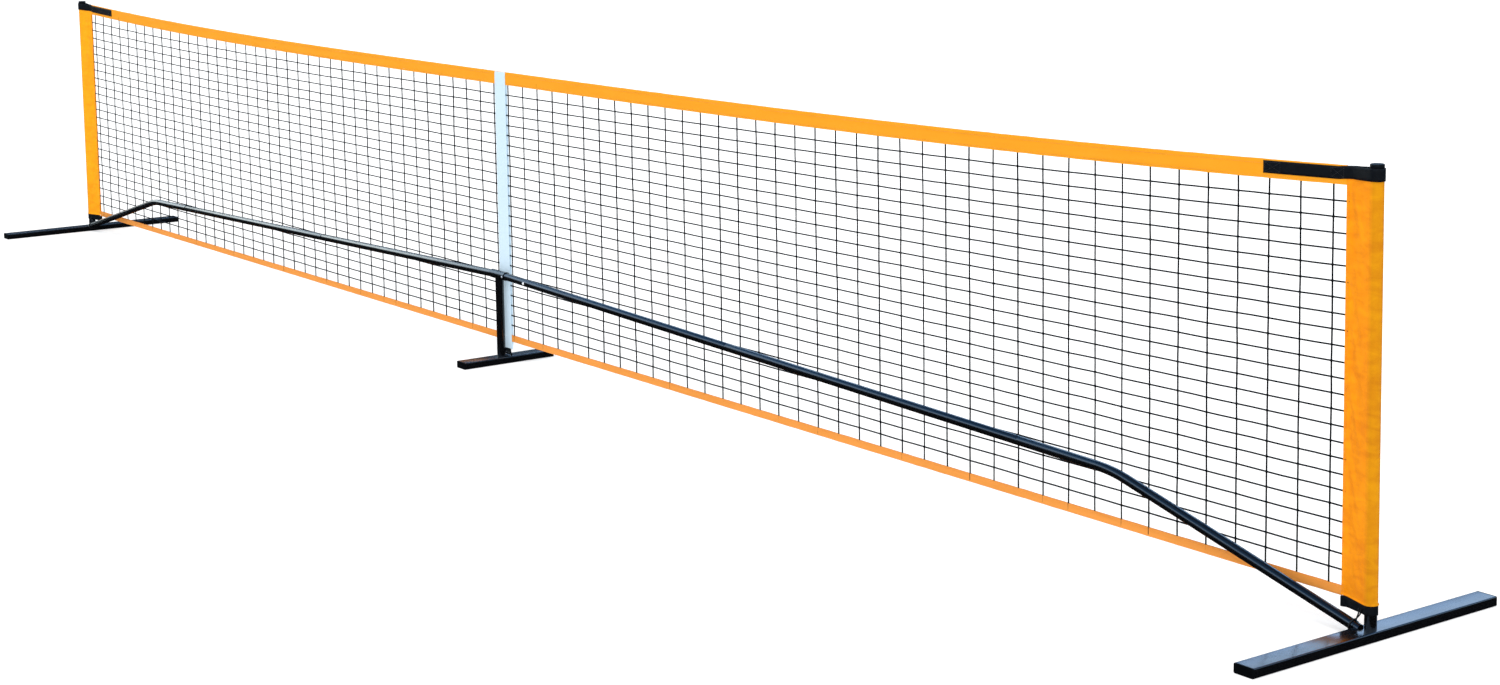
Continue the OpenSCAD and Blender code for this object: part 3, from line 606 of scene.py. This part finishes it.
orange_thread = thread_material("orange_thread", (0.90, 0.30, 0.01))
tape_xs = np.linspace(-HEM_X + 0.004, HEM_X - 0.004, 220)
TAPE_FACE = 0.00225     # the tape's face, from the net's plane
seams = [[(x, BACK + face * TAPE_FACE, top_z(x) - depth) for x in tape_xs]
         for face in (-1, 1) for depth in (0.0085, 0.0335)]
tape_stitches = sewn("top_binding_stitches", seams, orange_thread)

# ---------------------------------------------------------------------------------------
# The bottom tape: the same cloth in a narrower strip, folded round the net's lower edge
# and sewn once. It hangs level between the sleeves and keeps the netting square.
# ---------------------------------------------------------------------------------------
LOW_H = 0.020
LOW_FACE = 0.0019       # the tape's face, from the net's plane
pale_cloth = cloth_material("orange_low_tape_cloth", (0.76, 0.275, 0.045), (0.86, 0.32, 0.06))
low_tape = folded_tape("bottom_binding", lambda x: NET_LOW - LOW_H, -1, LOW_H, half_thick=0.0018,
                       cloth=0.0005, step=0.03, seed=21.0, material=pale_cloth)
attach(low_tape, "frame")
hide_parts("bottom_tape")
seams = [[(x, BACK + face * LOW_FACE, NET_LOW - 0.004) for x in tape_xs] for face in (-1, 1)]
low_stitches = sewn("bottom_binding_stitches", seams, orange_thread)

# ---------------------------------------------------------------------------------------
# The side sleeves: the orange cloth again, wrapped round each post as a pocket and sewn
# to the net's end along a flat hem. The net is put up by sliding them over the posts.
# ---------------------------------------------------------------------------------------
LEAD = 0.064            # from the post's axis to where the pocket has closed to a hem


def round_post(radius, hem, reach):
    """Plan line from the hem's end, round the post and back. The post's axis is at 0, 0."""
    def touch(y, k):
        a = atan2(y, -LEAD) + k * acos(radius / hypot(LEAD, y))
        return a, (radius * cos(a), radius * sin(a))
    a0, front = touch(BACK - hem, 1)
    a1, back = touch(BACK + hem, -1)
    turn = np.linspace(a0, a1 + (0 if a1 > a0 else 2 * pi), 33)[1:-1]
    return ([(-reach, BACK - hem), (-LEAD, BACK - hem), front]
            + [(radius * cos(a), radius * sin(a)) for a in turn]
            + [back, (-LEAD, BACK + hem), (-reach, BACK + hem)])


def even(line, step, ease=0):
    """Points a step apart along a line, with its corners eased by averaging."""
    line = np.asarray(line, float)
    run = np.concatenate([[0], np.cumsum(np.linalg.norm(np.diff(line, axis=0), axis=1))])
    marks = with_edges(np.linspace(0, run[-1], max(3, round(run[-1] / step) + 1)))
    made = np.stack([np.interp(marks, run, line[:, k]) for k in range(line.shape[1])], axis=1)
    for _ in range(ease):
        made[2:-2] = (made[1:-3] + 2 * made[2:-2] + made[3:-1]) / 4
    return made


def upright_cloth(name, line, low, high, thick, material, side, shape, step, plan_step=0.0025, rows=()):
    """A cloth that stands along a plan line, at one post, between two heights. It has a row of
    points every step, and extra rows at set distances above its lower edge."""
    plan = even(line, plan_step, ease=3)
    zs = with_edges(np.linspace(low, high, max(3, round((high - low) / step) + 1)))
    zs = np.sort(np.concatenate([zs, low + np.array(rows, float)]))
    grid = np.zeros((len(zs), len(plan), 3))
    grid[:, :, 0], grid[:, :, 1], grid[:, :, 2] = plan[None, :, 0], plan[None, :, 1], zs[:, None]
    grid = shape(grid)
    grid[:, :, 0] = side * (HALF + grid[:, :, 0])
    return sheet_mesh(name, grid, thick * border_thin(*grid.shape[:2]), material)


SLEEVE_LOW, SLEEVE_HIGH = 0.067, 0.906
SLEEVE_CLOTH = 0.0007
SLEEVE_R = 0.0138       # of the pocket, at the middle of the cloth
HEM = 0.080             # from the post's axis to the hem's cut end
HEM_FACE = 0.0021       # the hem's face, from the net's plane
ON_POST = 0.023         # half of the cloth's run that lies on the black post


def fade(values, start, width):
    """Rises from 0 at a start to 1 a width further on. A negative width runs the other way."""
    return np.clip((values - start) / width, 0, 1)


def creased(seed):
    """Soft creases on the flat part, fading out at the post and under the straps."""
    def shape(grid):
        flat = fade(grid[:, :, 0], -0.012, -0.03) * fade(grid[:, :, 0], -0.079, 0.012)
        clear = fade(grid[:, :, 2], 0.880, -0.03) * fade(grid[:, :, 2], 0.07, 0.03)
        pull = grid * (9, 0, 22)
        pull[:, :, 2] += 60 * grid[:, :, 0]
        wave = ripple(pull, 1.0, 0.0032, seed) + ripple(grid * (45, 0, 34), 1.0, 0.0016, seed + 5)
        grid[:, :, 1] += wave * flat * clear
        run = np.gradient(grid[0, :, :2], axis=0)
        outward = np.stack([run[:, 1], -run[:, 0]], axis=1) / np.linalg.norm(run, axis=1)[:, None]
        outward *= np.sign(outward[np.argmax(grid[0, :, 0]), 0])
        flare = 0.0021 * fade(grid[:, 0, 2], SLEEVE_LOW + 0.004, -0.0034)
        grid[:, :, :2] += flare[:, None, None] * outward[None]
        return grid
    return shape


# Each sleeve gets its own toned copy of the orange cloth, lighter than the tape's: painted light for the
# light shining through the flat part of the thin cloth, toned apart for each side.
for side, name, low, high in ((-1, "left", (0.82, 0.262, 0.003), (1.0, 0.40, 0.005)),
                              (1, "right", (0.74, 0.185, 0.0006), (1.0, 0.335, 0.0013))):
    plan = round_post(SLEEVE_R, 0.0017, HEM)
    run = sum(hypot(b[0] - a[0], b[1] - a[1]) for a, b in zip(plan, plan[1:]))
    orange = cloth_material(f"orange_sleeve_cloth_painted_light_{name}", low, high, crease_shade_stretch=(62, 26, 1),
                            post_shade_band=(run / 2, ON_POST))
    sleeve = upright_cloth(f"sleeve_{name}", plan, SLEEVE_LOW, SLEEVE_HIGH, SLEEVE_CLOTH, orange, side,
                           creased(31.0 + side), step=0.008, rows=(0.0015, 0.0028, 0.004))
    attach(sleeve, "frame")
    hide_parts(f"side_sleeve_{name}")
    seam_zs = np.linspace(SLEEVE_LOW + 0.004, SLEEVE_HIGH - 0.03, 80)
    seams = [[(side * (HALF + x), BACK + face * HEM_FACE, z) for z in seam_zs]
             for x in (-0.0765, -0.0735) for face in (-1, 1)]
    stitches = sewn(f"sleeve_stitches_{name}", seams, orange_thread)

# ---------------------------------------------------------------------------------------
# The tension straps: black polypropylene webbing, 25 mm wide, looped round the top of each
# sleeve and sewn along both faces of the top tape, so that the posts pull the net tight.
# ---------------------------------------------------------------------------------------
def webbing_material(name, low, high, rib=0.0016, roughness=0.6, **sockets):
    """Flat woven webbing: ribs across it, and a fine diagonal in each rib."""
    made, tree, shader = new_material(name, high, roughness, **sockets)
    uv = wire(tree, "ShaderNodeTexCoord").outputs["UV"]
    ribs = wire(tree, "ShaderNodeTexWave",
                {"Vector": uv, "Scale": pi / rib / 10, "Distortion": 0.6, "Detail": 1.0},
                wave_type="BANDS", bands_direction="X")
    twill = wire(tree, "ShaderNodeTexWave", {"Vector": uv, "Scale": pi / rib / 6, "Distortion": 1.0},
                 wave_type="BANDS", bands_direction="DIAGONAL")
    height = calc(tree, "MULTIPLY_ADD", twill.outputs["Fac"], 0.4, ribs.outputs["Fac"])
    tree.links.new(toned(tree, height, low, high), shader.inputs["Base Color"])
    bump(tree, shader, height, 0.6, 0.0003)
    return made


black_webbing = webbing_material("black_webbing", (0.0006, 0.0007, 0.0010), (0.0024, 0.0028, 0.0042),
                                 Specular_IOR_Level=0.16)
black_thread = thread_material("black_thread", (0.006, 0.006, 0.007))
WEB = 0.0016            # thickness of all the webbing
TENSION_LOW, TENSION_H = 0.886, 0.025
TENSION_LEN = 0.215     # along the top tape, from the sleeve's hem
TENSION_R = 0.0156      # round the sleeve, at the middle of the webbing
TENSION_FACE = 0.0040   # the webbing's face, from the net's plane


def along_tape(grid):
    """Bends the strap's ends on the tape to follow the tape's sag, and lifts its bight a little."""
    grid[:, :, 2] += 0.0028 * fade(grid[:, :, 0], -0.05, 0.05)
    grid[:, :, 2] -= fade(grid[:, :, 0], -0.06, -0.04) * (NET_TOP - top_z(HALF + grid[:, :, 0]))
    return grid


def box_of_stitches(x0, x1, y, z0, z1):
    """A sewn box with a cross in it."""
    return [[(x0, y, z0), (x1, y, z0), (x1, y, z1), (x0, y, z1), (x0, y, z0)],
            [(x0, y, z0), (x1, y, z1)], [(x0, y, z1), (x1, y, z0)]]


for side, name in ((-1, "left"), (1, "right")):
    plan = round_post(TENSION_R, 0.0031, HEM + TENSION_LEN)
    strap = upright_cloth(f"strap_tension_{name}", plan, TENSION_LOW, TENSION_LOW + TENSION_H, WEB,
                          black_webbing, side, along_tape, step=0.005)
    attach(strap, "frame")
    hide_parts(f"tension_strap_{name}")
    seams = []
    for face in (-1, 1):
        for x0, x1 in ((-0.290, -0.250), (-0.118, -0.086)):
            for line in box_of_stitches(x0, x1, 0, TENSION_LOW + 0.003, TENSION_LOW + TENSION_H - 0.003):
                seams.append([(side * (HALF + x), BACK + face * TENSION_FACE,
                               z - float(NET_TOP - top_z(HALF + x))) for x, _, z in line])
    sewn(f"strap_tension_stitches_{name}", seams, black_thread,
         pitch=0.0035, length=0.0014, thread=0.0004)

# ---------------------------------------------------------------------------------------
# The lower straps: 20 mm black webbing folded round the post under each sleeve and sewn
# to the foot of the hem, where the tie cords draw the net's lower corners down.
# ---------------------------------------------------------------------------------------
LOWER_LOW, LOWER_H = 0.047, 0.020
LOWER_R = 0.0136        # round the post, at the middle of the webbing
FOLD_R = 0.0046         # of the rolled fold at the inboard end
FOLD_X = -0.0773        # the fold's middle, from the post's axis


def dropped(grid):
    """Lets the fold hang just clear of the bottom tape's end."""
    grid[:, :, 2] -= 0.0034 * fade(grid[:, :, 0], -0.020, -0.057)
    return grid


front_end, lead_in, *round_and_back, lead_out, back_end = round_post(LOWER_R, 0.0021, 0.069)
fold_angles = np.linspace(radians(65), radians(295), 13)
fold = [(FOLD_X + FOLD_R * cos(a), BACK + FOLD_R * sin(a)) for a in fold_angles]
strap_plan = [(-LEAD, back_end[1]), back_end, *fold, front_end, lead_in, *round_and_back, lead_out]
for side, name in ((-1, "left"), (1, "right")):
    strap = upright_cloth(f"strap_lower_{name}", strap_plan, LOWER_LOW, LOWER_LOW + LOWER_H, WEB,
                          black_webbing, side, dropped, step=0.004, plan_step=0.0012)
    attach(strap, "frame")
    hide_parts(f"lower_strap_{name}")

# ---------------------------------------------------------------------------------------
# The centre strap: 60 mm pale webbing laid over the top tape at mid span and sewn together
# below the net. It holds the middle of the net down at its playing height.
# ---------------------------------------------------------------------------------------
def middle_cloth(name, line, step, width, stations, thick, material):
    """A cloth of a set width at mid span, laid along a line of places across the net and up."""
    profile = even(line, step, ease=1)
    xs = with_edges(np.linspace(-width / 2, width / 2, stations))
    grid = np.zeros((len(xs), len(profile), 3))
    grid[:, :, 0], grid[:, :, 1], grid[:, :, 2] = xs[:, None], BACK + profile[None, :, 0], profile[None, :, 1]
    return sheet_mesh(name, grid, thick * border_thin(*grid.shape[:2]), material)


# The pale webbing glows faintly: painted light that lifts the shade the tee and rails cast on the centre
# strap.
pale_webbing = webbing_material("pale_webbing", (0.35, 0.46, 0.54), (0.43, 0.53, 0.61), rib=0.0022,
                                roughness=0.7, Emission_Color=(0.70, 0.88, 1.0, 1),
                                Emission_Strength=0.34)
STRAP_W = 0.060
STRAP_FACE, JOINED_FACE = 0.0040, 0.0018        # its stitches, from the net's plane
STRAP_END = 0.042       # height of the strap's lower end
JOINED = 0.051          # below this height its two legs lie on each other
PARTED = 0.060          # above this one they stand clear of the net
crest = float(top_z(0)) + 0.0003
leg, joined_leg = 0.0023 + WEB / 2, 0.0009      # middle of each leg, from the net's plane
one_leg = [(leg, PARTED), (joined_leg, JOINED), (joined_leg, STRAP_END)]
over_tape = [(-leg, crest - 0.002), (0.0012 - leg, crest + WEB / 2),
             (leg - 0.0012, crest + WEB / 2), (leg, crest - 0.002)]
line = [(-y, z) for y, z in reversed(one_leg)] + over_tape + one_leg
center = middle_cloth("strap_center", line, step=0.006, width=STRAP_W, stations=13, thick=WEB,
                      material=pale_webbing)
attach(center, "frame")
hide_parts("center_strap")
pale_thread = thread_material("pale_thread", (0.80, 0.84, 0.88))
seams = []
for face in (-1, 1):
    seams += box_of_stitches(-0.024, 0.024, BACK + face * STRAP_FACE, crest - 0.042, crest - 0.008)
    seams += [[(x, BACK + face * JOINED_FACE, STRAP_END + 0.003) for x in (-0.026, 0.026)]]
sewn("strap_center_stitches", seams, pale_thread, pitch=0.004, length=0.0016, thread=0.0004)

# ---------------------------------------------------------------------------------------
# The tab: a short loop of black webbing round the staple's bar on the centre foot, sewn
# into the end of the centre strap.
# ---------------------------------------------------------------------------------------
TAB_W = 0.038
TAB_TOP, NECK = 0.050, 0.034    # heights of the sewn end, and of where the loop closes
BAR_R, BAR_Z = 0.002, 0.027     # the staple's bar and its height
ring = BAR_R + 0.0003 + WEB / 2
loop_angles = np.linspace(-0.35, -2 * pi + 0.35, 25)
tab_line = ([(-0.0003, TAB_TOP), (-0.0003, NECK)]
            + [(ring * sin(a), BAR_Z + ring * cos(a)) for a in loop_angles]
            + [(0.0003, NECK), (0.0003, TAB_TOP)])
tab = middle_cloth("tab_loop", tab_line, step=0.001, width=TAB_W, stations=9, thick=WEB * 0.6,
                   material=black_webbing)
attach(tab, "frame")
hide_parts("strap_tab")

# ---------------------------------------------------------------------------------------
# The tie cords: 3 mm braided cord from the lower strap, once round the end of the corner
# piece and back into the strap, both ends sewn in.
# ---------------------------------------------------------------------------------------
SLOPE = radians(14.27)  # of the corner piece where it meets the end foot
FOOT_X, FOOT_Z, FRONT = 3.307, 0.020, 0.014     # the corner piece's end, in front of the net
TIE_R = 0.0015
braid, tree, shader = new_material("black_braid", (0.008, 0.008, 0.009), 0.6, Specular_IOR_Level=0.3)
place = wire(tree, "ShaderNodeTexCoord").outputs["Object"]
plait = wire(tree, "ShaderNodeTexVoronoi", {"Vector": place, "Scale": 900.0})
yarn = toned(tree, plait.outputs["Distance"], (0.013, 0.013, 0.015), (0.004, 0.004, 0.005))
tree.links.new(yarn, shader.inputs["Base Color"])
bump(tree, shader, plait.outputs["Distance"], 0.5, 0.0003)


def tie_path(side):
    """The cord's route: down the strap's front, round the tube's end, and up again."""
    from_end, loop_r = 0.008, 0.0127
    centre = Vector((FOOT_X - from_end * cos(SLOPE), -FRONT, FOOT_Z + from_end * sin(SLOPE)))
    strap_r, strap_face = LOWER_R + WEB / 2, 0.00279
    base = Vector((-LEAD, BACK - strap_face))
    a = atan2(base.y, base.x) + acos(strap_r / base.length)
    start = Vector((strap_r * cos(a), strap_r * sin(a)))
    lean = (start - base).normalized()

    def seat(u, z):
        p = start + u * (base - start) + (TIE_R + 0.0001) * Vector((lean.y, -lean.x))
        return Vector((HALF + p.x, p.y, z))

    def loop(a, along):
        around = Vector((sin(a) * sin(SLOPE), -cos(a), sin(a) * cos(SLOPE)))
        return centre + loop_r * around + along * Vector((cos(SLOPE), 0, -sin(SLOPE)))

    steps, spread = 16, 0.0036
    turns = [loop(radians(110 - k * 330 / steps), spread * (0.5 - k / steps)) for k in range(steps + 1)]
    points = [seat(0.18, 0.055), seat(0.18, 0.046), *turns, seat(0.285, 0.046), seat(0.285, 0.055)]
    return [Vector((side * p.x, p.y, p.z)) for p in points]


def cord_mesh(name, points, radius, material):
    """A round cord along a line of points, closed at both ends."""
    curve = bpy.data.curves.new(name + "_line", "CURVE")
    curve.dimensions = "3D"
    spline = curve.splines.new("POLY")
    spline.points.add(len(points) - 1)
    for mark, p in zip(spline.points, points):
        mark.co = (*p, 1)
    curve.bevel_depth = radius
    curve.bevel_resolution = 2
    curve.use_fill_caps = True
    line = put(bpy.data.objects.new(name + "_line", curve))
    bpy.context.view_layer.update()
    made = bpy.data.meshes.new_from_object(line.evaluated_get(bpy.context.evaluated_depsgraph_get()))
    made.name = name
    bpy.data.objects.remove(line)
    build = bmesh.new()
    build.from_mesh(made)
    bmesh.ops.remove_doubles(build, verts=build.verts, dist=MERGE)
    bmesh.ops.recalc_face_normals(build, faces=build.faces)
    build.to_mesh(made)
    build.free()
    made.polygons.foreach_set("use_smooth", [True] * len(made.polygons))
    made.materials.clear()
    made.materials.append(material)
    return put(bpy.data.objects.new(name, made))


for side, name in ((-1, "left"), (1, "right")):
    path = [tuple(p) for p in even([tuple(p) for p in tie_path(side)], 0.0022, ease=2)]
    tie = cord_mesh(f"cord_tie_{name}", path, TIE_R, braid)
    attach(tie, "frame")
    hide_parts(f"tie_cord_{name}")

low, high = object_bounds()
